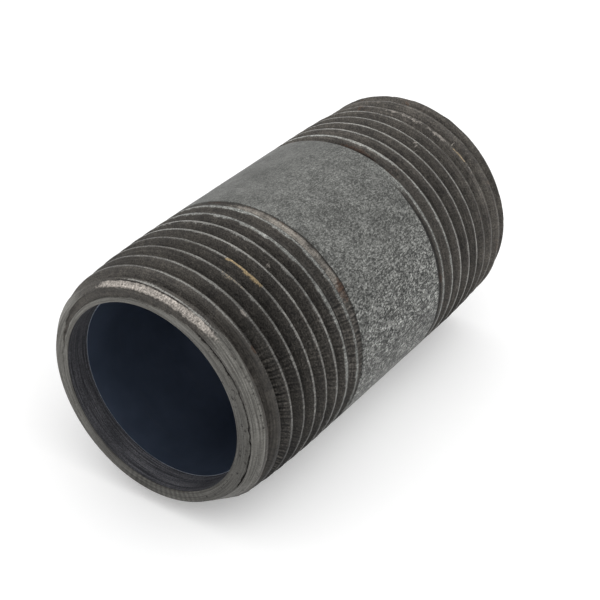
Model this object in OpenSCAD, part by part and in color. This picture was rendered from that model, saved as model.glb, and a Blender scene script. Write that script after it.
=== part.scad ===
// Barrel nipple: a short length of galvanised steel pipe with a right-hand taper pipe thread
// cut on each end. Inside the pipe and on the plain barrel the zinc coating is still there;
// the dies and the reamer have cut it away everywhere else.
// The axis runs along X, and the origin is the middle of the bore.

/* [Pipe] */
// Overall length of the nipple
nipple_length = 60; // [50:1:100]
// Outside diameter of the galvanised barrel
barrel_d = 33.7; // [33.4:0.1:34.2]
// Inside diameter of the galvanised bore
bore_d = 25.7; // [25:0.1:27.3]
// Thickness of the zinc coating
zinc_t = 0.1; // [0.06:0.01:0.15]

/* [Thread] */
// Threads per inch
threads_per_inch = 11; // [10:0.5:14]
// Major diameter of the thread at the end face
thread_d = 32.6; // [32.2:0.1:33]
// Length of pipe over which the thread grows by 1 in diameter
taper_ratio = 16; // [14:1:20]
// Threaded length of the near end (-X), with its run-out
near_thread_l = 21.4; // [18:0.1:22]
// Threaded length of the far end (+X), with its run-out
far_thread_l = 19.6; // [18:0.1:22]
// Turns over which the last grooves rise out of the barrel
runout_turns = 2; // [1:0.25:3]
// Turning angle of the near thread about the axis
near_start = 184; // [0:1:359]
// Turning angle of the far thread about the axis
far_start = 83; // [0:1:359]

/* [End faces] */
// Diameter at which the near end's bevel meets its face
near_face_d = 29.6; // [28:0.1:31.6]
// Length of the near end's bevel
near_bevel_l = 1.5; // [0.5:0.1:2.5]
// Diameter at which the far end's bevel meets its face
far_face_d = 31.2; // [28:0.1:31.6]
// Length of the far end's bevel
far_bevel_l = 0.5; // [0.5:0.1:2.5]
// Diameter of the reamed mouth at the end face
mouth_d = 26.04; // [26:0.02:27.6]
// Depth to which the mouth is reamed
ream_depth = 3.6; // [2:0.1:5]

/* [Hidden] */
inch = 25.4;
pitch = inch / threads_per_inch;
thread_height = 0.640327 * pitch;
crest_flat = pitch / 6;
root_flat = pitch / 6;
steel_r = barrel_d / 2 - zinc_t;
steel_bore_r = bore_d / 2 + zinc_t;
// How far the crests stay under the barrel, so that each thread ends at a shoulder
shoulder = 0.03;
steps_per_turn = 48;
profile_points = 4;
smooth = 96;
over = 1;

// Radius of the thread's crests and roots at a distance z from the end face
function crest_r(z) = min(thread_d / 2 + z / taper_ratio / 2, steel_r - shoulder);
function groove_part(z, thread_l) = min(1, max(0, (thread_l - z) / (runout_turns * pitch)));
function root_r(z, thread_l) =
    crest_r(z) - groove_part(z, thread_l) * (crest_r(z) - thread_d / 2 - z / taper_ratio / 2 + thread_height);

// One point of the thread's outline: the crest's two edges, then the root's two edges
function profile_z(j) = [
    -crest_flat / 2,
    crest_flat / 2,
    pitch / 2 - root_flat / 2,
    pitch / 2 + root_flat / 2
][j];
function thread_point(step, j, thread_l, start) =
    let (z = pitch * (step / steps_per_turn - 1.5) + profile_z(j))
    let (r = j < 2 ? crest_r(z) : root_r(z, thread_l))
    let (angle = start + 360 * step / steps_per_turn)
    [r * cos(angle), r * sin(angle), z];

// Two triangles for one four-sided face, given anticlockwise as seen from outside
function quad(a, b, c, d) = [[a, c, b], [a, d, c]];

// The threaded end before facing: a screw-shaped rod along +Z whose end face is at z = 0
module threaded_rod(thread_l, start) {
    steps = ceil((thread_l / pitch + 2.5) * steps_per_turn);
    last = steps - steps_per_turn;
    strip = [for (i = [0:steps]) for (j = [0:profile_points - 1]) thread_point(i, j, thread_l, start)];
    top_z = strip[len(strip) - 1][2];
    points = concat(strip, [[0, 0, -2 * pitch], [0, 0, top_z]]);
    bottom = len(strip);
    top = bottom + 1;
    flanks = [
        for (i = [0:steps - 1]) for (j = [0:profile_points - 2])
            each quad(4 * i + j, 4 * i + 4 + j, 4 * i + 5 + j, 4 * i + 1 + j)
    ];
    seams = [
        for (i = [0:last - 1])
            each quad(4 * i + 3, 4 * i + 7, 4 * (i + steps_per_turn) + 4, 4 * (i + steps_per_turn))
    ];
    bottom_edge = concat(
        [for (i = [0:steps_per_turn]) 4 * i],
        [3, 2, 1, 0]
    );
    top_edge = concat(
        [for (i = [last:steps]) 4 * i + 3],
        [4 * steps + 2, 4 * steps + 1, 4 * steps, 4 * last + 3]
    );
    bottom_fan = [for (k = [0:len(bottom_edge) - 2]) [bottom, bottom_edge[k], bottom_edge[k + 1]]];
    top_fan = [for (k = [0:len(top_edge) - 2]) [top, top_edge[k + 1], top_edge[k]]];
    polyhedron(points = points, faces = concat(flanks, seams, bottom_fan, top_fan));
}

// Everything that facing and bevelling take off the outside of an end
module facing_tool(face_r, bevel_l) {
    outer_r = steel_r + over;
    bevel_slope = bevel_l / (crest_r(bevel_l) - face_r);
    rotate_extrude($fn = smooth)
        polygon([
            [0, -3 * pitch],
            [outer_r, -3 * pitch],
            [outer_r, (outer_r - face_r) * bevel_slope],
            [face_r, 0],
            [0, 0]
        ]);
}

module threaded_end(thread_l, start, face_r, bevel_l) {
    difference() {
        threaded_rod(thread_l, start);
        facing_tool(face_r, bevel_l);
    }
}

// The bore with a reamed mouth at each end, as one solid to take away
module bore_tool() {
    half = nipple_length / 2;
    mouth_slope = (mouth_d / 2 - steel_bore_r) / ream_depth;
    rotate_extrude($fn = smooth)
        polygon([
            [0, -half - over],
            [mouth_d / 2 + over * mouth_slope, -half - over],
            [steel_bore_r, -half + ream_depth],
            [steel_bore_r, half - ream_depth],
            [mouth_d / 2 + over * mouth_slope, half + over],
            [0, half + over]
        ]);
}

module steel_pipe() {
    near_x = -nipple_length / 2;
    far_x = nipple_length / 2;
    barrel_l = nipple_length - near_thread_l - far_thread_l;
    color([0.33, 0.31, 0.3])
        difference() {
            union() {
                translate([near_x + near_thread_l, 0, 0])
                    rotate([0, 90, 0])
                        cylinder(r = steel_r, h = barrel_l, $fn = smooth);
                translate([near_x, 0, 0])
                    rotate([0, 90, 0])
                        threaded_end(near_thread_l, near_start, near_face_d / 2, near_bevel_l);
                translate([far_x, 0, 0])
                    rotate([0, -90, 0])
                        threaded_end(far_thread_l, far_start, far_face_d / 2, far_bevel_l);
            }
            rotate([0, 90, 0])
                bore_tool();
        }
}

// A thin sleeve of zinc between two stations along the axis
module zinc_sleeve(from_x, to_x, inner_r) {
    translate([from_x, 0, 0])
        rotate([0, 90, 0])
            rotate_extrude($fn = smooth)
                translate([inner_r, 0])
                    square([zinc_t, to_x - from_x]);
}

module barrel_zinc() {
    color([0.62, 0.63, 0.62])
        zinc_sleeve(-nipple_length / 2 + near_thread_l, nipple_length / 2 - far_thread_l, steel_r);
}

module bore_zinc() {
    color([0.26, 0.27, 0.31])
        zinc_sleeve(-nipple_length / 2 + ream_depth, nipple_length / 2 - ream_depth, bore_d / 2);
}

steel_pipe();
barrel_zinc();
bore_zinc();
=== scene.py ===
import math

import bpy
import numpy as np
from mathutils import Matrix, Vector


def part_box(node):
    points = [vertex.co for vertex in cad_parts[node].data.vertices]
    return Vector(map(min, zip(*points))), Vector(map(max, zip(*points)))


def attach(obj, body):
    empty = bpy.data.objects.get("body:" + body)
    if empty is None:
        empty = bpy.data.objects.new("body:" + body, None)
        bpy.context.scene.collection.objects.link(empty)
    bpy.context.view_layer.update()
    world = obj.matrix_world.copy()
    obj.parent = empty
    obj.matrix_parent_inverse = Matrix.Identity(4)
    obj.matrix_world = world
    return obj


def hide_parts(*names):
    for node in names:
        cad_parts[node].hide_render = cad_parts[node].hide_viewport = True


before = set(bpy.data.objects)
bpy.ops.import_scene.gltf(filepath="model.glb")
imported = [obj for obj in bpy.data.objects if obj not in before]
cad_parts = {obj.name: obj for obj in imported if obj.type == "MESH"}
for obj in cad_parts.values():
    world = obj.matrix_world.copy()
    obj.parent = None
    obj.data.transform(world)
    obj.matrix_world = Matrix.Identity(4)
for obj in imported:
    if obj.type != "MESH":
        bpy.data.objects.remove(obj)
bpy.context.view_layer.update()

# Lengths in the shape functions are millimetres, as on a pipe drawing, and Skin.piece() turns them
# into metres. A place on the pipe is (s, angle, r): s runs from the near end face along +X, angle
# turns about +X from straight up towards -Y, and r is the distance from the axis. Angles are radians
# in the arithmetic and degrees wherever a value is written out.
MM = 0.001

# ---------------------------------------------------------------- sizes, from the frame
steel_low, steel_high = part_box("steel_pipe")
coat_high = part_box("barrel_zinc")[1]
lining_low, lining_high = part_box("bore_zinc")

LENGTH = (steel_high.x - steel_low.x) / MM
COAT_R = coat_high.z / MM
COAT_T = 0.1  # each layer of zinc
STEEL_R = COAT_R - COAT_T
LINING_OUT_R = lining_high.z / MM
LINING_R = LINING_OUT_R - COAT_T
REAM_DEPTH = (lining_low.x - steel_low.x) / MM
REAM_TAPER = 0.07  # how much the reamed mouth's radius grows from its end to the face
MOUTH_R = LINING_OUT_R + REAM_TAPER
MIDDLE = LENGTH / 2

# where the cut steel and the zinc meet
UNDER_COAT_R = STEEL_R - 0.03  # the steel under the zinc on the barrel
COAT_IN_R = STEEL_R - 0.06  # that zinc's own underside, in the steel, so that no gap shows
LINING_SUNK_R = LINING_OUT_R + 0.03  # the bore's zinc is sunk in the steel in the same way
COAT_LAP, LINING_LAP = 0.7, 0.4  # how far the cut steel runs on under each layer of zinc

# the end faces
NEAR_FACE_R, FAR_FACE_R = 14.72, 15.62  # where each face turns into its bevel
FACE_IN_R = MOUTH_R + 0.03  # where the flat of each face starts
LIP = 0.07  # depth of the rounded edge between a face and its reamed mouth

# the R 1 taper thread: 11 to the inch, 55 degree flanks, 1 in 16 on the diameter
PITCH = 25.4 / 11
THREAD_HEIGHT = 0.640327 * PITCH
FLANK_SLOPE = 1 / math.tan(math.radians(27.5))
NEAR_CREST_R, FAR_CREST_R = 16.42, 16.5  # at the end faces, a little over the standard's 16.3
TAPER = 1 / 32
FLAT_HALF = PITCH / 12
LEAD_SLOPE = 0.36  # the cone that the die's lead teeth leave in the last grooves
NEAR_REACH, FAR_REACH = 21.72, 19.5  # how far from each face those teeth have cut

# row places across one pitch, from a crest, closest together where the profile turns
ROWS = np.array([0, 0.05, 0.083, 0.12, 0.20, 0.30, 0.41, 0.50, 0.59, 0.72, 0.84, 0.917])


# ---------------------------------------------------------------- smooth numbers
def smooth(low, high, x):
    """0 below low, 1 above high, and a smooth step between."""
    t = np.clip((x - low) / (high - low), 0, 1)
    return t * t * (3 - 2 * t)


def soft_min(a, b, k):
    """The smaller of a and b, rounded over about k where they cross."""
    return -k * np.logaddexp(-a / k, -b / k)


def soft_max(a, b, k):
    """The larger of a and b, rounded over about k where they cross."""
    return k * np.logaddexp(a / k, b / k)


def turned(angle, centre):
    """Degrees from centre, from -180 to 180."""
    return (np.degrees(angle) - centre + 180) % 360 - 180


def angle_turns(angle):
    """The angle in turns, from -0.25 to 0.75, so the side facing -Y has no jump in it."""
    return (np.degrees(angle) + 90) % 360 / 360 - 0.25


def between(angle, low, high, soft):
    """1 between low and high degrees and 0 outside, fading over soft degrees at each of them."""
    away = np.abs(turned(angle, (low + high) / 2))
    half = (high - low) / 2
    return 1 - smooth(half - soft / 2, half + soft / 2, away)


def line_at(away, half):
    """1 on a line, fading evenly on both sides of it."""
    return np.exp(-(away / half) ** 2)


def spot(s, angle, at_s, at_angle, half_s, half_angle):
    """1 inside an oval mark, fading to 0 at its edge."""
    away = np.hypot((s - at_s) / half_s, turned(angle, at_angle) / half_angle)
    return 1 - smooth(0.6, 1.2, away)


def field(s, angle, cell, around, seed):
    """Smooth noise from -1 to 1 over the pipe: cells are cell mm long, and around go in a turn."""
    rows = int(LENGTH / cell) + 6
    grid = np.random.default_rng(seed).uniform(-1, 1, (rows, around))
    u, v = np.broadcast_arrays(np.asarray(s) / cell + 2, np.asarray(angle) / (2 * math.pi) * around)
    i, j = np.floor(u).astype(int), np.floor(v).astype(int)
    fu, fv = u - i, v - j
    fu, fv = fu * fu * (3 - 2 * fu), fv * fv * (3 - 2 * fv)
    i = np.clip(i, 0, rows - 2)
    low = grid[i, j % around] * (1 - fv) + grid[i, (j + 1) % around] * fv
    high = grid[i + 1, j % around] * (1 - fv) + grid[i + 1, (j + 1) % around] * fv
    return low * (1 - fu) + high * fu


# ---------------------------------------------------------------- the threads
class Thread:
    """One end's taper thread. out() is the distance from that end's own face."""

    def __init__(self, near, crest_at_top, seed):
        self.near = near
        self.crest = crest_at_top
        self.crest_r = NEAR_CREST_R if near else FAR_CREST_R
        self.seed = seed

    def out(self, s):
        return s if self.near else LENGTH - s

    def crest_away(self, s, angle):
        """Distance along the pipe from the nearest crest."""
        turns = (s - self.crest) / PITCH - angle / (2 * math.pi)
        return np.abs(turns - np.round(turns)) * PITCH

    def crest_number(self, s, angle):
        """Which crest is the nearest: 0 is the one at crest_at_top, and 1 the next along +X."""
        return np.round((s - self.crest) / PITCH - angle_turns(angle))

    def end(self, angle):
        """How far out from the face the die's lead teeth reach: they sit a little askew."""
        if self.near:
            lean = np.radians(turned(angle, 58))
            wander = 0.05 * field(5 + 0 * angle, angle, 3, 50, 31)
            return NEAR_REACH - 0.54 * np.sqrt(lean ** 2 + 0.03) + wander
        reach = smooth(10, 44, turned(angle, 0)) * (1 - smooth(85, 130, turned(angle, 0)))
        return FAR_REACH + 0.45 * reach + 0.04 * field(9 + 0 * angle, angle, 3, 50, 32)

    def cut_r(self, s, angle):
        """The surface that the die cuts, carried on past the crests and the pipe's own skin."""
        turns = (s - self.crest) / PITCH - angle / (2 * math.pi)
        across = (turns - np.floor(turns) - 0.5) * PITCH
        middle = self.out(s - across)
        root = self.crest_r - THREAD_HEIGHT + middle * TAPER
        if not self.near:
            root = root + 0.4 * smooth(18.3, 19.3, middle)
        vee = root + soft_max(np.abs(across) - FLAT_HALF, 0 * across, 0.02) * FLANK_SLOPE
        lead = COAT_R - (self.end(angle) - self.out(s)) * LEAD_SLOPE
        return soft_max(vee, lead, 0.02)

    def land_r(self, s):
        """Radius of the crests, which are lower on the near end's first few turns."""
        crest_r = self.crest_r + self.out(s) * TAPER
        if self.near:
            crest_r = crest_r - 0.26 * (1 - smooth(2.5, 8.5, s))
        return np.minimum(crest_r, COAT_R)

    def coat_edge(self, angle):
        """Where the zinc coat stops: the last place along the pipe that the die has cut."""
        reach = np.linspace(17, 23, 601)[:, None]
        s = reach if self.near else LENGTH - reach
        cut = self.cut_r(s, angle[None, :]) < COAT_R - 0.02
        last = reach[:, 0][cut.shape[0] - 1 - np.argmax(cut[::-1], axis=0)]
        return last if self.near else LENGTH - last


near_thread = Thread(near=True, crest_at_top=3.36, seed=100)
far_thread = Thread(near=False, crest_at_top=43.22, seed=200)


def past_first_crest(s, angle):
    """Distance along the pipe from the near thread's first crest."""
    return s - near_thread.crest - PITCH * angle_turns(angle)


def chatter(thread, s, angle):
    """How strongly the die's chatter shows, 0 to about 1: ridges across the flanks."""
    if not thread.near:
        return 0.25 * smooth(0, 0.8, field(s, angle, 2.3, 14, 205))
    past = past_first_crest(s, angle)
    strong = smooth(0.3, 0.7, past) * (1 - smooth(1.9, 2.2, past)) * between(angle, 52, 124, 16)
    strong = strong * (0.8 + 0.5 * field(s, angle, 0.7, 40, 104))
    weak = 0.45 * between(angle, 58, 112, 25) * smooth(-0.2, 0.6, field(s, angle, 1.6, 16, 105))
    last = 0.7 * between(angle, 55, 98, 16) * smooth(17.9, 18.6, s)
    return np.maximum(np.maximum(strong, weak), last) * smooth(3, 4, s)


def chatter_wave(thread, s, angle):
    """The chatter's ridges and hollows: 195 small ones in a turn, on 105 broad ones."""
    bend = 2.2 * field(s, angle, 1.4, 50, thread.seed + 6)
    bend = bend + 0.9 * field(s, angle, 0.5, 130, thread.seed + 9)
    lean = 1.6 * (s - 3.0)
    return 0.65 * np.sin(195 * angle + lean + bend) + 0.5 * np.sin(105 * angle + lean + 0.6 * bend)


def torn_ridge(s, angle):
    """The first ridge, which the face bevel cut through and tore, at the top of the near end."""
    away = np.abs(s - 0.70 - 0.0015 * turned(angle, 0))
    return (1 - smooth(0.24, 0.46, away)) * between(angle, -28, 38, 20)


def stray_line(s, angle):
    """Distance along the pipe from the fine double line behind the seventh crest."""
    return s - 17.85 - 0.0085 * turned(angle, 5)


def worn(thread, s, angle):
    """How far a crest is worn or torn down."""
    seed = thread.seed
    depth = 0.02 * (1 + field(s, angle, 1.7, 40, seed + 3))
    depth = depth + 0.05 * smooth(0.55, 0.95, field(s, angle, 0.9, 190, seed + 4))
    if not thread.near:
        depth = depth + 0.09 * smooth(52.5, 55, s) * (1 + 0.8 * field(s, angle, 1.1, 60, seed + 5))
    return np.maximum(depth, 0)


def thread_r(thread, s, angle):
    """The outside of the steel: die-cut flanks, worn crests, chatter and tears."""
    seed = thread.seed
    wander = 0.025 * field(s, angle, 1.3, 50, seed + 1) + 0.008 * field(s, angle, 0.6, 260, seed + 2)
    cut = thread.cut_r(s + wander, angle)
    cut = cut + 0.045 * chatter(thread, s, angle) * chatter_wave(thread, s, angle)
    if thread.near:
        ledge = STEEL_R - 0.1 - np.maximum(np.abs(stray_line(s, angle)) - 0.1, 0) * FLANK_SLOPE
        cut = soft_max(cut, ledge - 0.9 * (1 - between(angle, 8, 92, 12)), 0.02)
    cut = cut + 0.012 * field(s, angle, 0.35, 300, seed + 7)
    cut = cut + 0.008 * field(s, angle, 0.2, 500, seed + 8)
    land = thread.land_r(s) - worn(thread, s, angle)
    return soft_min(cut, land, 0.015)


# ---------------------------------------------------------------- the near end face
def corner(angle):
    """Where the near end face turns into its bevel: (s, r)."""
    top = between(angle, -45, 28, 30)
    right = between(angle, 45, 128, 45)
    left = between(angle, -125, -50, 40)
    bottom = between(angle, 135, 262, 50)
    r = NEAR_FACE_R + 0.06 * top + 0.40 * right + 0.14 * left - 0.26 * bottom
    return 0.28 * top, r


def bevel_r(s, angle):
    """Radius of the near bevel, which is flatter at the bottom."""
    corner_s, corner_r = corner(angle)
    lines = 0.012 * field(s, angle, 0.16, 6, 41) + 0.02 * field(s, angle, 0.3, 90, 42)
    slope = 0.8 - 0.33 * between(angle, 125, 250, 50)
    return corner_r + slope * (s - corner_s) + lines * smooth(0, 0.2, s - corner_s)


def recess_edges(angle):
    """Inner and outer radius of the band left standing back from the near face. It is wide at the
    top and a thin crack on the right."""
    wander = 0.08 * field(0 * angle, angle, 1, 46, 54) + 0.11 * field(0 * angle, angle, 1, 120, 56)
    wander = wander * (0.5 + between(angle, 30, 140, 30))
    inner = 13.65 + 1.27 * smooth(-15, 75, turned(angle, 0)) + wander
    width = 1.1 * smooth(-92, -32, turned(angle, 0)) * (1 - smooth(0, 62, turned(angle, 0)))
    crack = (0.27 + 0.18 * field(2 + 0 * angle, angle, 1, 110, 55)) * between(angle, 20, 128, 14)
    return inner, inner + width + crack


def face_s(r, angle):
    """How far the near end face stands back, in mm along the pipe."""
    inner, outer = recess_edges(angle)
    ragged_r = r + 0.05 * field(r * 3, angle, 0.8, 130, 51)
    band = smooth(inner - 0.05, inner + 0.07, ragged_r)
    band = band * (1 - smooth(outer - 0.02, outer + 0.08, ragged_r))
    depth = np.where(outer - inner > 0.3, 0.24, 0.16)
    rough = 0.008 * field(r * 6, angle, 0.3, 8, 52) + 0.012 * field(r * 2, angle, 0.5, 150, 53)
    lip = LIP * (1 - smooth(0, 0.09, r - MOUTH_R))
    return np.maximum(band * depth + rough + lip, -0.01)


# ---------------------------------------------------------------- meshes
class Skin:
    """A closed surface round the axis. Its rings follow each other round the wall: outside towards
    +X, far face inwards, bore back towards -X, and near face outwards."""

    NARROWEST = 0.04  # a helix row closer than this to an end ring is merged with it

    def __init__(self, angles):
        self.angles = angles
        self.places = []
        self.faces = []
        self.count = 0

    def points(self, s, angle, r, zone):
        """Adds vertices and gives their numbers."""
        s, angle, r = np.broadcast_arrays(s, angle, r)
        zone = np.full(s.shape, zone)
        self.places.append(np.stack([s.ravel(), angle.ravel(), r.ravel(), zone.ravel()], axis=1))
        first = self.count
        self.count += s.size
        return np.arange(first, self.count)

    def ring(self, s, r, zone):
        return self.points(np.zeros(len(self.angles)) + s, self.angles, r, zone)

    def band(self, a, b):
        """Faces between two rings that follow each other."""
        quads = np.stack([a, np.roll(a, -1), np.roll(b, -1), b], axis=1)
        self.faces.extend(quads.tolist())

    def bands(self, rings):
        for a, b in zip(rings, rings[1:]):
            self.band(a, b)

    def helix(self, thread, low, high, low_ring, high_ring, radius, zone):
        """Rows along the thread, from the ring at low to the ring at high. One turn on, row j of the
        last column meets row j + len(ROWS) of the first."""
        first = math.floor((np.min(low) - thread.crest) / PITCH) - 3
        last = math.ceil((np.max(high) - thread.crest) / PITCH) + 3
        pitches = (np.arange(first, last)[:, None] + ROWS).ravel()
        s = thread.crest + PITCH * (pitches[:, None] + self.angles / (2 * math.pi))
        near_end, far_end = s < low + self.NARROWEST, s > high - self.NARROWEST
        inside = ~near_end & ~far_end
        angle = np.broadcast_to(self.angles, s.shape)
        ids = np.where(near_end, low_ring, high_ring)
        ids[inside] = self.points(s[inside], angle[inside], radius(s[inside], angle[inside]), zone)
        seam = np.full(len(ids), high_ring[0])
        seam[:-len(ROWS)] = ids[len(ROWS):, 0]
        ids = np.column_stack([ids, seam])
        corners = [ids[:-1, :-1], ids[:-1, 1:], ids[1:, 1:], ids[1:, :-1]]
        quads = np.stack(corners, axis=-1).reshape(-1, 4)
        same = quads == np.roll(quads, -1, axis=1)
        self.faces.extend(quads[same.sum(axis=1) == 0].tolist())
        for quad, repeat in zip(quads[same.sum(axis=1) == 1], same[same.sum(axis=1) == 1]):
            self.faces.append([int(v) for v, twice in zip(quad, repeat) if not twice])

    def piece(self, name, marks, sharp):
        """Makes the Blender object, with one attribute on it for each kind of mark."""
        s, angle, r, zone = np.concatenate(self.places).T
        xyz = np.stack([s + steel_low.x / MM, -r * np.sin(angle), r * np.cos(angle)], axis=1) * MM
        mesh = bpy.data.meshes.new(name)
        mesh.from_pydata(xyz.tolist(), [], self.faces)
        for mark, amount in marks(s, angle, r, zone).items():
            layer = mesh.attributes.new(mark, "FLOAT", "POINT")
            layer.data.foreach_set("value", np.clip(amount + 0 * s, 0, 1).astype(np.float32))
        mesh.polygons.foreach_set("use_smooth", np.ones(len(mesh.polygons), dtype=bool))
        mesh.set_sharp_from_angle(angle=math.radians(sharp))
        mesh.validate()
        mesh.update()
        piece = bpy.data.objects.new(name, mesh)
        bpy.context.scene.collection.objects.link(piece)
        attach(piece, "root")
        return piece


OUTSIDE, FACE, BORE = 0, 1, 2  # the zones of a skin, which the marks tell apart


def even_angles(count):
    """Angles evenly round the pipe."""
    return np.linspace(0, 2 * math.pi, count, endpoint=False)


def near_angles():
    """Angles round the near end, close together where the chatter ridges need it."""
    fine = np.linspace(42, 122, 250, endpoint=False)
    rest = np.linspace(122, 402, 360, endpoint=False)
    return np.radians(np.concatenate([fine, rest]))


def near_steel_r(s, angle, edge):
    """The near half's outside: thread, bevel and torn ridge, then plain steel past the zinc's edge."""
    cut, bevel = thread_r(near_thread, s, angle), bevel_r(s, angle)
    smeared = between(angle, 35, 140, 30) * (1 - smooth(1.2, 1.45, s))
    r = np.minimum(cut + np.maximum(bevel - cut, 0) * smeared, bevel)
    r = r + torn_ridge(s, angle) * (0.12 * field(s, angle, 0.25, 240, 61) + 0.06)
    return np.where(s > edge, UNDER_COAT_R, r)


def ream_r(depth):
    """Radius of the reamed mouth, depth mm in from the face."""
    return MOUTH_R - REAM_TAPER * depth / REAM_DEPTH


def make_near_steel():
    """The steel pipe from the near face to the middle, where the zinc hides the join."""
    skin = Skin(near_angles())
    a = skin.angles
    edge = near_thread.coat_edge(a)
    corner_s, corner_r = corner(a)
    mouth = skin.ring(LIP, MOUTH_R, FACE)
    rows = [mouth]
    for t in np.concatenate([np.linspace(0, 0.8, 11)[1:], np.linspace(0.8, 1, 10)[1:-1]]):
        r = FACE_IN_R + (corner_r - FACE_IN_R) * t
        blend = smooth(0.96, 1, t)
        rows.append(skin.ring(face_s(r, a) * (1 - blend) + corner_s * blend, r, FACE))
    low_ring = skin.ring(corner_s, corner_r, OUTSIDE)
    skin.bands(rows + [low_ring])
    high = edge.max() + COAT_LAP
    high_ring = skin.ring(high, UNDER_COAT_R, OUTSIDE)

    def radius(s, angle):
        return near_steel_r(s, angle, np.interp(angle, a, edge))
    skin.helix(near_thread, corner_s, high + 0 * a, low_ring, high_ring, radius, OUTSIDE)
    outer_middle = skin.ring(MIDDLE, UNDER_COAT_R, OUTSIDE)
    inner_middle = skin.ring(MIDDLE, LINING_OUT_R, BORE)
    bore = [skin.ring(REAM_DEPTH + LINING_LAP, LINING_OUT_R, BORE)]
    for depth in np.linspace(REAM_DEPTH, 0.25, 12):
        tool_marks = 0.006 * field(depth + 0 * a, a, 0.3, 5, 71)
        tool_marks = tool_marks + 0.004 * field(depth + 0 * a, a, 0.25, 90, 72)
        bore.append(skin.ring(depth, ream_r(depth) + tool_marks, BORE))
    skin.bands([high_ring, outer_middle, inner_middle] + bore + [mouth])
    return skin.piece("steel_near_half", near_marks, 42)


def far_face_s(r, angle):
    """How far the far end face stands back, in mm along the pipe."""
    rough = 0.008 * field(r * 6, angle, 0.3, 8, 82) + 0.012 * field(r * 2, angle, 0.5, 150, 83)
    lip = 0.06 * (1 - smooth(0, 0.09, r - MOUTH_R))
    return np.maximum(rough + lip, -0.01)


def make_far_steel():
    """The steel pipe from the middle to the far face."""
    skin = Skin(even_angles(560))
    a = skin.angles
    edge = far_thread.coat_edge(a)
    low = edge.min() - COAT_LAP
    outer_middle = skin.ring(MIDDLE, UNDER_COAT_R, OUTSIDE)
    low_ring = skin.ring(low, UNDER_COAT_R, OUTSIDE)
    skin.band(outer_middle, low_ring)
    corner_r = FAR_FACE_R + 0.03 * field(3 + 0 * a, a, 1, 60, 81)
    high_ring = skin.ring(LENGTH, corner_r, OUTSIDE)

    def radius(s, angle):
        bevel = FAR_FACE_R + 1.3 * (LENGTH - s)
        r = np.minimum(thread_r(far_thread, s, angle), bevel)
        return np.where(s < np.interp(angle, a, edge), UNDER_COAT_R, r)
    skin.helix(far_thread, low + 0 * a, LENGTH + 0 * a, low_ring, high_ring, radius, OUTSIDE)
    rows = [high_ring]
    for t in np.linspace(1, 0, 14)[1:-1]:
        r = FACE_IN_R + (corner_r - FACE_IN_R) * t
        rows.append(skin.ring(LENGTH - far_face_s(r, a), r, FACE))
    rows.append(skin.ring(LENGTH - LIP, MOUTH_R, FACE))
    for depth in np.linspace(0.25, REAM_DEPTH, 10):
        tool_marks = 0.006 * field(depth + 0 * a, a, 0.3, 5, 84)
        rows.append(skin.ring(LENGTH - depth, ream_r(depth) + tool_marks, BORE))
    rows.append(skin.ring(LENGTH - REAM_DEPTH - LINING_LAP, LINING_OUT_R, BORE))
    inner_middle = skin.ring(MIDDLE, LINING_OUT_R, BORE)
    skin.bands(rows + [inner_middle, outer_middle])
    return skin.piece("steel_far_half", far_marks, 42)


def make_coat():
    """The zinc left on the barrel, from one run-out to the other."""
    skin = Skin(even_angles(620))
    a = skin.angles
    start, stop = near_thread.coat_edge(a) - 0.02, far_thread.coat_edge(a) + 0.02
    edge_r = COAT_R - 0.05
    rows = [skin.ring(start + 0.01, COAT_IN_R, OUTSIDE), skin.ring(start, edge_r, OUTSIDE)]
    for t in np.linspace(0, 1, 92):
        s = start + 0.05 + (stop - start - 0.1) * t
        r = COAT_R + 0.012 * field(s, a, 2.2, 60, 91) + 0.006 * field(s, a, 0.45, 260, 92)
        pits = smooth(0.72, 0.98, field(s, a, 0.5, 230, 93)) * (0.3 + 0.7 * between(a, 60, 130, 40))
        rows.append(skin.ring(s, r - 0.012 - 0.04 * pits, OUTSIDE))
    rows += [skin.ring(stop, edge_r, OUTSIDE), skin.ring(stop - 0.01, COAT_IN_R, OUTSIDE)]
    skin.bands(rows + [rows[0]])
    return skin.piece("zinc_barrel_coat", coat_marks, 60)


def make_lining():
    """The zinc left in the bore, from one reamed mouth to the other."""
    skin = Skin(even_angles(360))
    a = skin.angles
    start, stop = REAM_DEPTH, LENGTH - REAM_DEPTH
    rows = [skin.ring(start, LINING_SUNK_R, BORE), skin.ring(stop, LINING_SUNK_R, BORE)]
    for s in np.linspace(stop, start, 70):
        r = LINING_R + 0.01 * field(s, a, 2.5, 40, 95) + 0.004 * field(s, a, 0.8, 120, 96)
        rows.append(skin.ring(s, np.minimum(r, LINING_OUT_R - 0.06), BORE))
    skin.bands(rows + [rows[0]])
    return skin.piece("zinc_bore_lining", lining_marks, 50)


# ---------------------------------------------------------------- marks: what shows where, 0 to 1
TONE_SCALE = 4.0  # a tone is a factor from 0 to 4, so its mark holds a quarter of it


def land_mark(thread, s, angle):
    """The crests' flats, a little ragged, and wider towards the barrel."""
    ragged = 0.03 * field(s, angle, 0.5, 240, thread.seed + 11)
    ragged = ragged + 0.04 * field(s, angle, 1.6, 50, thread.seed + 12)
    half = FLAT_HALF - 0.06 + 0.04 * smooth(12, 18, thread.out(s))
    return 1 - smooth(half - 0.04, half + 0.08, thread.crest_away(s, angle) + ragged)


def skin_left(thread, s, angle):
    """The pipe's own coated surface, left on the last crests before the barrel."""
    left = smooth(14, 18, thread.out(s) + 1.5 * field(s, angle, 2, 30, thread.seed + 13))
    return left * land_mark(thread, s, angle)


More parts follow.
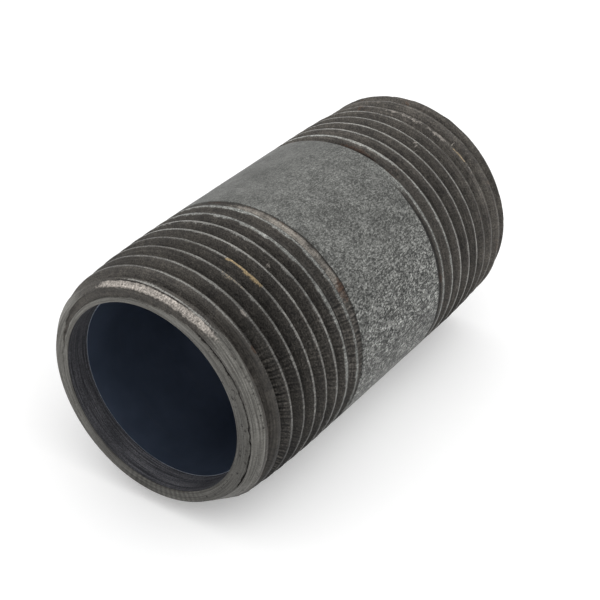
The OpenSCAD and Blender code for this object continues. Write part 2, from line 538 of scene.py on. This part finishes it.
def floor_mark(s, angle):
    """The light, shallow floor where the last groove of the near thread runs out."""
    inside = smooth(0.2, 0.5, s - (19.63 + PITCH * angle_turns(angle)))
    inside = inside * (1 - smooth(-0.5, -0.1, s - near_thread.end(angle)))
    patchy = 0.75 + 0.4 * field(s, angle, 0.5, 130, 133)
    return inside * patchy * between(angle, -4, 60, 30)


def near_painted_shade(s, angle):
    """How much darker the near thread is: painted shade on its side and underneath, and painted light
    at the top and on the left.
    """
    painted_darkening = 0.24 * between(angle, 15, 160, 50)
    painted_darkening = painted_darkening + 0.30 * between(angle, 30, 150, 40) * (1 - smooth(8, 12, s))
    painted_darkening = painted_darkening + 0.4 * between(angle, 104, 240, 20)
    painted_darkening = painted_darkening - 0.28 * between(angle, -40, 32, 30) * smooth(10, 13, s)
    left = 0.3 * between(angle, -120, 24, 40) * (2 - smooth(3, 5, s))
    return painted_darkening * smooth(2.2, 4.6, s) - left


def near_lines(s, angle):
    """The near thread's dark lines: beside the stray line, and where the last groove runs out."""
    behind = stray_line(s, angle)
    stray = line_at(behind + 0.22, 0.13) + line_at(behind - 0.25, 0.14)
    stray = 0.8 * stray * between(angle, 8, 92, 12) * (1 - land_mark(near_thread, s, angle))
    edge = 0.75 * line_at(s - near_thread.end(angle) + 0.16, 0.16) * between(angle, -25, 110, 20)
    deep = line_at(s - 20.55 - 0.006 * turned(angle, -20), 0.35) * between(angle, -60, -6, 12)
    return stray + edge + 0.5 * deep * (s > 20)


def near_tone(s, angle, zone):
    """Light and dark over the near half, much of it painted light and shade."""
    # painted light and shade: the chatter ridges lighter on top and darker in their hollows
    ridge_light_and_shade = 1.1 * chatter(near_thread, s, angle) * (chatter_wave(near_thread, s, angle) + 0.25)
    ridge_light_and_shade = ridge_light_and_shade * (1 - land_mark(near_thread, s, angle))
    blotch = 0.16 * field(s, angle, 2.3, 12, 131) + 0.12 * field(s, angle, 0.8, 90, 132)
    blotch = blotch + floor_mark(s, angle) * (0.3 * field(s, angle, 0.4, 170, 134) - 0.12)
    outside = 1.22 - near_painted_shade(s, angle) - blotch - near_lines(s, angle) + ridge_light_and_shade
    knurled = 0.25 * between(angle, 150, 200, 20) * np.sin(110 * angle)
    # painted light and shade: the end face lighter at its top towards +Y and darker at its bottom
    # towards -Y
    face = 1.10 + 0.33 * np.cos(angle + 0.75) + knurled
    # painted light: the reamed mouth lighter at its bottom
    ream = 0.98 + 0.5 * between(angle, 165, 205, 40)
    return np.where(zone == OUTSIDE, outside, np.where(zone == FACE, face, ream))


def near_faint(s, angle):
    """How much the near crest lines are lost: the first two on the side, and the first at the left."""
    number = near_thread.crest_number(s, angle)
    faint = 0.7 * (number == 0) * between(angle, 42, 150, 30)
    faint = faint + 0.3 * (number == 1) * between(angle, 80, 150, 40)
    return faint + 0.45 * between(angle, -120, 2, 30) * (number < 4)


def near_recess(angle, r, face):
    """Where the near face's recessed band and crack are."""
    inner, outer = recess_edges(angle)
    return face * smooth(inner - 0.02, inner + 0.1, r) * (1 - smooth(outer - 0.05, outer + 0.1, r))


def near_specks(s, angle, r, face, on_bevel):
    """Dark specks on the right of the near face: by its crack, on its inner ring and on the bevel."""
    inner, outer = recess_edges(angle)
    edges = line_at(r - outer, 0.25) * face + line_at(s - 1.15, 0.25) * on_bevel
    specks = edges * between(angle, 34, 200, 30) * (0.22 + 0.3 * field(r * 2, angle, 1, 40, 57))
    inner_ring = face * (1 - smooth(inner - 0.1, inner, r)) * between(angle, 52, 150, 24)
    return specks + 0.5 * inner_ring * smooth(0.35, 0.85, field(r * 2.5, angle, 1, 150, 58))


def near_rust(s, angle):
    """Rust by the near thread's run-out, and one spot of it at each end of the thread."""
    rust = 0.6 * smooth(0.5, 0.95, field(s, angle, 1.5, 60, 121)) * smooth(19, 20.5, s)
    brown_edge = line_at(s - near_thread.end(angle) + 0.28, 0.2) * between(angle, -30, 60, 20)
    rust = rust + brown_edge * (0.35 + 0.3 * field(s, angle, 0.8, 120, 124))
    return rust + 0.8 * spot(s, angle, 3.9, 52, 0.25, 2.5) + 0.6 * spot(s, angle, 21.3, 54, 0.3, 2)


def ochre_streak(s, angle):
    """The ochre streak on the fourth crest, and a faint one on the third."""
    number = near_thread.crest_number(s, angle)
    wavy = 0.08 * field(s, angle, 0.8, 110, 122) + 0.07 * field(s, angle, 0.3, 210, 123)
    on_crest = 1 - smooth(0.09, 0.25, near_thread.crest_away(s, angle) + wavy)
    fourth = (number == 3) * between(angle, 15, 34, 3)
    third = 0.45 * (number == 2) * between(angle, 18, 33, 6)
    return (fourth + third) * on_crest


def near_chips(s, angle):
    """Small light chips in the near thread."""
    chips = spot(s, angle, 5.8, 38, 0.22, 2.2) + spot(s, angle, 2.35, 41, 0.2, 1.8)
    chips = chips + spot(s, angle, 2.1, 102, 0.16, 1.6)
    chips = chips + 0.8 * spot(s, angle, 5.0, 108, 0.14, 1.0)
    return chips + 0.9 * spot(s, angle, 14.4, 28, 0.12, 1.0)


def near_marks(s, angle, r, zone):
    """The near half's marks."""
    outside, face, bore = zone == OUTSIDE, zone == FACE, zone == BORE
    land = land_mark(near_thread, s, angle) * (1 - near_faint(s, angle)) * smooth(1.6, 2.4, s)
    rim = 0.8 * spot(s, angle, 1.28, 20, 0.1, 45)
    on_bevel = outside * (1 - smooth(0.03, 0.14, bevel_r(s, angle) - r)) * (1 - smooth(1.5, 1.8, s))
    shine = 0.25 + 0.75 * (1 - between(angle, -50, 40, 25))
    recess = near_recess(angle, r, face)
    crack = recess * between(angle, 34, 132, 16)
    split = 0.8 * outside * line_at(s - 1.12, 0.06) * between(angle, -20, 36, 12)
    specks = near_specks(s, angle, r, face, on_bevel)
    drawn = between(angle, 34, 150, 30) * (1 - smooth(-0.1, 0.3, past_first_crest(s, angle)))
    side_ridges = between(angle, 40, 150, 50) * (1 - 0.85 * drawn)
    return {
        "land": (land + rim) * outside,
        "coat": skin_left(near_thread, s, angle) * outside,
        "face": np.maximum(face * (1 - recess), on_bevel * shine),
        "ream": bore,
        "torn": np.maximum(torn_ridge(s, angle), near_chips(s, angle)) * outside,
        "floor": floor_mark(s, angle) * outside,
        "rust": near_rust(s, angle) * outside,
        "ochre": ochre_streak(s, angle),
        "dark": np.maximum(np.maximum(crack, split), specks),
        "drawn": drawn * outside,
        "ridged": np.maximum(side_ridges, torn_ridge(s, angle)) * outside,
        "tone": near_tone(s, angle, zone) / TONE_SCALE,
    }


def past_zinc(s, angle):
    """Distance along the pipe from the zinc's edge into the far thread."""
    grid = even_angles(560)
    return s - np.interp(angle, grid, far_thread.coat_edge(grid), period=2 * math.pi)


def young_groove(s, angle):
    """Where the far thread's last groove has only just begun, and zinc is still left in it."""
    begun = smooth(15, 19, turned(angle, 0)) * (1 - smooth(26, 48, turned(angle, 0)))
    line = 0.3 * smooth(22, 34, turned(angle, 0))
    past = past_zinc(s, angle) + 0.06 * field(s, angle, 0.5, 150, 227)
    return begun * smooth(line - 0.3, line, past - 0.02) * (1 - smooth(0.95, 1.15, past))


def far_tear(s, angle):
    """A torn crest near the far end, ribbed across like the near end's torn ridge."""
    on_crest = 1 - smooth(0.16, 0.36, far_thread.crest_away(s + 0.1, angle))
    tear = (far_thread.crest_number(s, angle) == 5) * between(angle, -4, 34, 14) * on_crest
    ribs = 0.62 + 0.45 * np.sin(230 * angle) + 0.9 * field(s, angle, 0.4, 200, 226)
    return tear * np.clip(ribs, 0, 1)


def far_edge(s, angle):
    """The dark line along the zinc's edge, wide enough to be seen past it."""
    past = past_zinc(s, angle)
    wide = 0.4 * between(angle, 52, 160, 30) + 0.85 * between(angle, -24, 21, 12)
    edge = smooth(-0.1, 0.1, past) * (1 - smooth(0.25 + wide, 0.5 + wide, past))
    return edge * between(angle, -30, 150, 24)


def far_tone(s, angle, outside):
    """Light and dark over the far half, whose thread is lighter towards its end, with painted light at
    the top and painted shade underneath.
    """
    # painted light and shade: the chatter ridges lighter on top and darker in their hollows
    ridge_light_and_shade = 0.4 * chatter(far_thread, s, angle) * chatter_wave(far_thread, s, angle)
    past = past_zinc(s, angle)
    runout = between(angle, -40, 14, 16) * smooth(0.7, 1.0, past) * (1 - smooth(2.0, 2.3, past))
    worn_end = smooth(51.0, 54.0, s)
    blotch = 0.14 * field(s, angle, 2.0, 14, 223)
    blotch = blotch + (0.10 + 0.1 * worn_end) * field(s, angle, 0.45, 190, 224)
    # painted light and shade: the thread lighter at the top and on the +Y side, darker underneath
    top = (0.95 - 0.15 * worn_end) * between(angle, -120, 24, 50) - 0.45 * between(angle, 106, 240, 20)
    lighter = 0.55 * worn_end + top + blotch + ridge_light_and_shade - 1.05 * far_edge(s, angle) + 0.4 * runout
    tone = 1.33 + outside * (lighter - 1.1 * spot(s, angle, 42.3, 6, 0.5, 24))
    tone = tone + (1.05 - tone) * young_groove(s, angle) * outside
    return tone + (1.0 - tone) * far_tear(s, angle) * outside


def far_rust(s, angle):
    """Rust by the far thread's run-out and on its worn end."""
    rust = 0.7 * smooth(0.5, 0.95, field(s, angle, 1.2, 70, 221)) * (1 - smooth(41.5, 44, s))
    rust = rust + 0.62 * spot(s, angle, 42.3, 8, 0.5, 15) + 0.7 * spot(s, angle, 40.6, 83, 0.3, 6)
    return rust + 0.4 * smooth(51.6, 53.6, s) * smooth(0.4, 0.95, field(s, angle, 1.2, 60, 222))


def far_marks(s, angle, r, zone):
    """The far half's marks. It has no "drawn" mark, and a mark that isn't there counts as 0."""
    outside, face, bore = zone == OUTSIDE, zone == FACE, zone == BORE
    by_zinc = 1 - smooth(0.8, 1.0, past_zinc(s, angle))
    clear = 1 - between(angle, -40, 44, 20) * by_zinc
    worn_end = smooth(51.6, 53.6, s)
    dull = 0.25 + worn_end * (0.6 + 0.4 * field(s, angle, 0.6, 60, 225))
    scratch = spot(s, angle, 50.0, 24 - 6 * (s - 50.0), 0.45, 0.6) + spot(s, angle, 56.2, 34, 0.6, 0.5)
    pits = 0.9 * spot(s, angle, 46.9, 32, 0.16, 0.9)
    pits = pits + 0.8 * spot(s, angle, 49.5, 93 + 4 * (s - 49.5), 0.9, 0.7)
    zinc_left = np.maximum(skin_left(far_thread, s, angle) * clear, young_groove(s, angle))
    by_crest = 1 - smooth(0.2, 0.8, far_thread.crest_away(s, angle))
    return {
        "land": land_mark(far_thread, s, angle) * outside * (1 - np.clip(dull, 0, 1)) * clear,
        "coat": zinc_left * outside,
        "face": face,
        "ream": bore,
        "torn": np.maximum(scratch, 0.8 * far_tear(s, angle)) * outside,
        "floor": 0.22 * worn_end * by_crest * outside,
        "rust": far_rust(s, angle) * outside,
        "ochre": 0.6 * spot(s, angle, 55.0, 41, 0.16, 6) * outside,
        "dark": pits * outside,
        "ridged": 0.3 * between(angle, 50, 150, 50) * outside,
        "tone": far_tone(s, angle, outside) / TONE_SCALE,
    }


def coat_marks(s, angle, r, zone):
    """The zinc on the barrel: smooth at the top, pitted and scratched towards the right, with painted
    light at the top and painted shade underneath.
    """
    # painted light and shade: the zinc lighter at the top and on the -Y side, darker underneath and on
    # the upper +Y side; the field term is random cloudiness
    tone = 1.0 + 0.12 * field(s, angle, 3, 24, 94) + 0.1 * between(angle, 70, 160, 30)
    tone = tone - 0.2 * between(angle, 94, 240, 20) - 0.06 * between(angle, -60, -4, 40)
    tone = tone + 0.1 * between(angle, -14, 20, 20)
    strokes = field(s + 6 * angle, angle, 0.9, 190, 97)
    strokes = strokes + 0.8 * field(s - 9 * angle, angle, 0.5, 150, 98)
    tone = tone + 0.34 * strokes * between(angle, 74, 200, 36)
    pitted = 0.1 + 0.3 * between(angle, -5, 185, 30) + 0.25 * between(angle, 28, 160, 50)
    pitted = pitted + 0.35 * between(angle, 62, 170, 40)
    return {"pitted": pitted, "tone": tone / TONE_SCALE}


def lining_marks(s, angle, r, zone):
    """The bright ring line at the lining's cut edges."""
    return {"lip": smooth(LINING_R + 0.012, LINING_R + 0.03, r)}


# ---------------------------------------------------------------- materials
class Nodes:
    """Adds shader nodes to one material. Where a value is another node's socket it is linked, and
    where it is a number or a colour it is set."""

    def __init__(self, name):
        self.material = bpy.data.materials.new(name)
        self.material.use_nodes = True
        self.tree = self.material.node_tree
        self.shader = self.tree.nodes["Principled BSDF"]
        self.place = self.add("ShaderNodeTexCoord").outputs["Object"]

    def set(self, socket, value):
        if isinstance(value, bpy.types.NodeSocket):
            self.tree.links.new(value, socket)
        else:
            socket.default_value = value

    def add(self, kind, **settings):
        node = self.tree.nodes.new(kind)
        for name, value in settings.items():
            setattr(node, name, value)
        return node

    def mark(self, name):
        """The amount of one mark, which Skin.piece() has put on the mesh."""
        return self.add("ShaderNodeAttribute", attribute_name=name).outputs["Fac"]

    def math(self, operation, a, b=0.0, c=0.0):
        node = self.add("ShaderNodeMath", operation=operation)
        for socket, value in zip(node.inputs, (a, b, c)):
            self.set(socket, value)
        return node.outputs[0]

    def noise(self, size, detail=2.0, rough=0.5, stretch=(1, 1, 1)):
        """Noise with features about size mm across, stretched along any axis."""
        node = self.add("ShaderNodeVectorMath", operation="MULTIPLY")
        self.set(node.inputs[0], self.place)
        node.inputs[1].default_value = [1 / (size * MM * k) for k in stretch]
        noise = self.add("ShaderNodeTexNoise")
        self.set(noise.inputs["Vector"], node.outputs[0])
        noise.inputs["Scale"].default_value = 1
        noise.inputs["Detail"].default_value = detail
        noise.inputs["Roughness"].default_value = rough
        return noise.outputs[0]

    def rings(self, size, stretch=40):
        """Noise drawn out round the pipe, like a turning tool's marks. They run round the axis on
        the bore and the bevel, and in circles on a face."""
        split = self.add("ShaderNodeSeparateXYZ")
        self.set(split.inputs[0], self.place)
        y2 = self.math("MULTIPLY", split.outputs[1], split.outputs[1])
        r = self.math("SQRT", self.math("MULTIPLY_ADD", split.outputs[2], split.outputs[2], y2))
        join = self.add("ShaderNodeCombineXYZ")
        across = self.math("MULTIPLY", self.math("ADD", r, split.outputs[0]), 1 / (size * MM))
        self.set(join.inputs[0], across)
        for i in (1, 2):
            self.set(join.inputs[i], self.math("MULTIPLY", split.outputs[i], 1 / (size * stretch * MM)))
        noise = self.add("ShaderNodeTexNoise")
        self.set(noise.inputs["Vector"], join.outputs[0])
        noise.inputs["Scale"].default_value = 1
        noise.inputs["Detail"].default_value = 3
        return noise.outputs[0]

    def ramp(self, value, low, high, to_low=0.0, to_high=1.0):
        """The value taken in a straight line from low..high to to_low..to_high."""
        node = self.add("ShaderNodeMapRange")
        for name, number in (("Value", value), ("From Min", low), ("From Max", high),
                             ("To Min", to_low), ("To Max", to_high)):
            self.set(node.inputs[name], number)
        return node.outputs[0]

    def mix(self, amount, a, b):
        """A colour between a and b."""
        node = self.add("ShaderNodeMix", data_type="RGBA")
        for name, value in (("Factor_Float", amount), ("A_Color", a), ("B_Color", b)):
            socket = next(s for s in node.inputs if s.identifier == name)
            self.set(socket, (*value, 1) if isinstance(value, tuple) else value)
        return next(s for s in node.outputs if s.identifier == "Result_Color")

    def blend(self, amount, a, b):
        """A number between a and b."""
        return self.ramp(amount, 0.0, 1.0, a, b)

    def ragged(self, mark, noise, amount=0.5):
        """A mark whose edge is broken up by noise finer than the mesh."""
        value = self.math("MULTIPLY_ADD", self.math("SUBTRACT", noise, 0.5), amount * 2, mark)
        return self.ramp(value, 0.3, 0.7)

    def scaled(self, colour, factor):
        node = self.add("ShaderNodeVectorMath", operation="SCALE")
        self.set(node.inputs[0], colour)
        self.set(node.inputs["Scale"], factor)
        return node.outputs[0]

    def toned(self, colour):
        """The colour made lighter or darker by the tone mark, which holds painted light and shade as
        well as blotches, stains and lines.
        """
        return self.scaled(colour, self.math("MULTIPLY", self.mark("tone"), TONE_SCALE))

    def mottled(self, colour, noise, amount):
        """The colour made lighter and darker by noise."""
        swing = self.ramp(noise, 0.3, 0.7, -1.0, 1.0)
        return self.scaled(colour, self.math("MULTIPLY_ADD", swing, amount, 1.0))

    def bump(self, layers):
        """Chains bump nodes, one for each (height, depth in mm), into the shader."""
        normal = None
        for height, depth in layers:
            node = self.add("ShaderNodeBump")
            node.inputs["Strength"].default_value = 1
            node.inputs["Distance"].default_value = depth * MM
            self.set(node.inputs["Height"], height)
            if normal is not None:
                self.set(node.inputs["Normal"], normal)
            normal = node.outputs[0]
        self.set(self.shader.inputs["Normal"], normal)

    def finish(self, colour, roughness, metallic):
        self.set(self.shader.inputs["Base Color"], colour)
        self.set(self.shader.inputs["Roughness"], roughness)
        self.shader.inputs["Metallic"].default_value = metallic
        self.shader.inputs["Specular IOR Level"].default_value = 0.3
        return self.material


CUT_DARK, CUT_BROWN = (0.0255, 0.0235, 0.0218), (0.059, 0.0538, 0.047)
CREST_GREY = (0.15, 0.147, 0.138)
ZINC_DARK, ZINC_MID = (0.030, 0.031, 0.029), (0.100, 0.102, 0.095)
ZINC_PALE, ZINC_LIGHT = (0.150, 0.152, 0.143), (0.33, 0.335, 0.32)
FACE_DARK, FACE_LIGHT = (0.062, 0.059, 0.053), (0.125, 0.122, 0.112)
REAM_DARK, REAM_LIGHT = (0.034, 0.035, 0.041), (0.107, 0.106, 0.115)
TORN = (0.21, 0.192, 0.174)
FLOOR_BROWN = (0.150, 0.138, 0.122)
RUST = (0.050, 0.031, 0.022)
OCHRE = (0.23, 0.175, 0.10)
CRACK = (0.010, 0.009, 0.008)
# painted shade and reflection: the bore's near-black navy
BORE_SHADE_NAVY, BORE_SHADE_BLACK = (0.071, 0.093, 0.141), (0.054, 0.072, 0.109)
BORE_STREAK, BORE_LIP = (0.09, 0.10, 0.13), (0.50, 0.54, 0.60)
SHEET_GREY, SHEET_WHITE = (0.88, 0.88, 0.88), (0.90, 0.90, 0.90)


def zinc_colour(n, pitted):
    """Weathered hot-dip zinc: cloudy, with fine light and dark flecks, and painted shade in its
    creases.
    Gives the colour, and the two noises behind the flecks and the pits."""
    cloud = n.noise(2.6, 3, 0.6)
    patch = n.noise(0.75, 2, 0.5, (1, 1.4, 1.4))
    fleck = n.noise(0.19, 3, 0.65, (1.2, 1, 1))
    pits = n.noise(0.26, 3, 0.7, (1.7, 1, 1))
    wrinkle = n.noise(0.75, 3, 0.6, (1.8, 1, 1))
    colour = n.mix(n.ramp(cloud, 0.38, 0.62), ZINC_MID, ZINC_PALE)
    light = n.math("MULTIPLY", n.ramp(fleck, 0.49, 0.58), n.blend(pitted, 0.3, 0.85))
    colour = n.mix(light, colour, ZINC_LIGHT)
    dark = n.math("MULTIPLY", n.ramp(pits, 0.49, 0.45), n.blend(pitted, 0.12, 1.0))
    colour = n.mix(dark, colour, ZINC_DARK)
    # painted shade: dark lines where the zinc's creases would be shaded
    painted_crease_shade = n.ramp(n.math("ABSOLUTE", n.math("SUBTRACT", wrinkle, 0.5)), 0.05, 0.0)
    painted_crease_shade = n.math("MULTIPLY", painted_crease_shade, n.ramp(pitted, 0.35, 1.0, 0.0, 0.8))
    colour = n.mix(painted_crease_shade, colour, ZINC_DARK)
    colour = n.mottled(colour, pits, n.ramp(pitted, 0.6, 1.0, 0.08, 0.5))
    return n.mottled(colour, patch, n.blend(pitted, 0.08, 0.36)), fleck, pits


def steel_material():
    """Bare cut steel, laid over with what each mark says: crest, face, reamed wall, zinc, stain."""
    n = Nodes("die_cut_steel")
    fine = n.noise(0.16, 2, 0.6)
    grain = n.noise(0.45, 3, 0.65)
    cloud = n.noise(2.6, 3, 0.6)
    across = n.noise(0.22, 2, 0.5, (9, 1, 1))
    rings = n.rings(0.13)
    tone = n.math("MULTIPLY_ADD", grain, 0.6, n.math("MULTIPLY", cloud, 0.4))
    colour = n.mix(n.ramp(tone, 0.36, 0.64), CUT_DARK, CUT_BROWN)
    colour = n.mix(n.ragged(n.mark("floor"), grain, 0.5), colour, FLOOR_BROWN)
    colour = n.mix(n.ragged(n.mark("land"), fine, 0.35), colour, CREST_GREY)
    face = n.mix(n.ramp(rings, 0.35, 0.65), FACE_DARK, FACE_LIGHT)
    face = n.mix(n.ramp(grain, 0.38, 0.30), face, CUT_BROWN)
    colour = n.mix(n.ragged(n.mark("face"), grain, 0.25), colour, face)
    colour = n.mix(n.mark("ream"), colour, n.mix(n.ramp(rings, 0.35, 0.65), REAM_DARK, REAM_LIGHT))
    zinc_left = zinc_colour(n, n.math("MULTIPLY", n.mark("coat"), 0.4))[0]
    colour = n.mix(n.ragged(n.mark("coat"), grain, 0.25), colour, zinc_left)
    colour = n.mix(n.ragged(n.mark("torn"), grain, 0.6), colour, TORN)
    colour = n.mix(n.ragged(n.mark("rust"), grain, 0.6), colour, RUST)
    colour = n.mix(n.ragged(n.mark("ochre"), fine, 0.6), colour, OCHRE)
    colour = n.mix(n.ragged(n.mark("dark"), n.noise(0.4, 2, 0.5), 0.9), colour, CRACK)
    colour = n.toned(colour)
    smoother = n.math("MAXIMUM", n.mark("face"), n.mark("drawn"))
    colour = n.mottled(colour, fine, n.blend(smoother, 0.5, 0.18))
    colour = n.mottled(colour, n.rings(0.26, 30), n.blend(n.mark("drawn"), 0.28, 0.4))
    colour = n.mottled(colour, across, n.math("MULTIPLY", n.mark("ridged"), 0.5))
    roughness = n.ramp(grain, 0.3, 0.7, 0.5, 0.68)
    ring_depth = n.math("MULTIPLY", rings, n.math("MAXIMUM", n.mark("face"), n.mark("ream")))
    n.bump([(ring_depth, 0.05), (across, 0.05), (grain, 0.06), (fine, 0.03)])
    return n.finish(colour, roughness, 0.4)


def coat_material():
    """The zinc on the barrel."""
    n = Nodes("hot_dip_zinc")
    colour, fleck, pits = zinc_colour(n, n.mark("pitted"))
    colour = n.toned(colour)
    roughness = n.ramp(fleck, 0.3, 0.7, 0.5, 0.65)
    n.bump([(n.noise(2.2, 2, 0.5), 0.08), (pits, 0.08), (fleck, 0.05)])
    return n.finish(colour, roughness, 0.4)


def lining_material():
    """The zinc in the bore, which is smooth, with a bright ring line at its ends. Its near-black bluish
    colour is painted shade and painted reflection.
    """
    n = Nodes("bore_zinc")
    cloud = n.noise(6, 3, 0.6)
    streak = n.noise(0.8, 2, 0.5, (1, 8, 8))
    # painted shade and reflection: the bore's zinc coloured near-black navy
    colour = n.mix(n.ramp(cloud, 0.3, 0.7), BORE_SHADE_BLACK, BORE_SHADE_NAVY)
    colour = n.mix(n.math("MULTIPLY", n.ramp(streak, 0.55, 0.8), 0.2), colour, BORE_STREAK)
    colour = n.mix(n.mark("lip"), colour, BORE_LIP)
    n.bump([(n.noise(1.6, 2, 0.5), 0.03), (streak, 0.01)])
    return n.finish(colour, n.ramp(cloud, 0.3, 0.7, 0.35, 0.5), 0.6)


# ---------------------------------------------------------------- the pipe
steel = steel_material()
for half in (make_near_steel(), make_far_steel()):
    half.data.materials.append(steel)
    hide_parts("steel_pipe")

coat = make_coat()
coat.data.materials.append(coat_material())
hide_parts("barrel_zinc")

lining = make_lining()
lining.data.materials.append(lining_material())
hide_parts("bore_zinc")


# ---------------------------------------------------------------- studio, in metres
CAMERA_PLACE = (-0.1440, -0.0999, 0.1105)
CAMERA_TARGET = (-0.0001, -0.0015, -0.0011)
LENS_MM, SENSOR_MM = 93.0, 36
SOFTBOX_PLACE, SOFTBOX_SIZE, SOFTBOX_WATTS = (-0.15, -0.35, 0.48), 0.6, 1.4
# the floor sheet's glow is painted light: the sheet is no lamp
WORLD_LIGHT, SHEET_PAINTED_GLOW = 0.91, 0.2


def make_floor():
    """A plain pale sheet that the pipe lies on."""
    half = 3.0
    z = -COAT_R * MM
    mesh = bpy.data.meshes.new("floor")
    corners = [(-half, -half, z), (half, -half, z), (half, half, z), (-half, half, z)]
    mesh.from_pydata(corners, [], [(0, 1, 2, 3)])
    floor = bpy.data.objects.new("floor", mesh)
    bpy.context.scene.collection.objects.link(floor)
    n = Nodes("pale_floor")
    colour = n.mix(n.noise(60, 2, 0.5), SHEET_GREY, SHEET_WHITE)
    # the sheet glows though it is no lamp: painted light that lightens the pipe's shadow on it and
    # lights the pipe's underside
    n.shader.inputs["Emission Color"].default_value = (1, 1, 1, 1)
    n.shader.inputs["Emission Strength"].default_value = SHEET_PAINTED_GLOW
    mesh.materials.append(n.finish(colour, n.ramp(n.noise(3), 0.3, 0.7, 0.8, 0.9), 0.0))


def aim(thing, target):
    thing.rotation_euler = (Vector(target) - thing.location).to_track_quat("-Z", "Y").to_euler()


def add_softbox(name, place, size, power):
    light = bpy.data.lights.new(name, "AREA")
    light.shape = "SQUARE"
    light.size = size
    light.energy = power
    lamp = bpy.data.objects.new(name, light)
    lamp.location = place
    bpy.context.scene.collection.objects.link(lamp)
    aim(lamp, (0, 0, 0))


def make_world():
    world = bpy.data.worlds.new("studio")
    world.use_nodes = True
    background = world.node_tree.nodes["Background"]
    background.inputs["Color"].default_value = (1.0, 1.0, 1.0, 1)
    background.inputs["Strength"].default_value = WORLD_LIGHT
    bpy.context.scene.world = world


def make_camera():
    data = bpy.data.cameras.new("camera")
    data.lens = LENS_MM
    data.sensor_width = SENSOR_MM
    data.clip_start = 0.01
    camera = bpy.data.objects.new("camera", data)
    camera.location = CAMERA_PLACE
    bpy.context.scene.collection.objects.link(camera)
    aim(camera, CAMERA_TARGET)
    bpy.context.scene.camera = camera


make_floor()
make_world()
add_softbox("softbox_front", SOFTBOX_PLACE, SOFTBOX_SIZE, SOFTBOX_WATTS)
make_camera()
bpy.context.scene.view_settings.view_transform = "Standard"
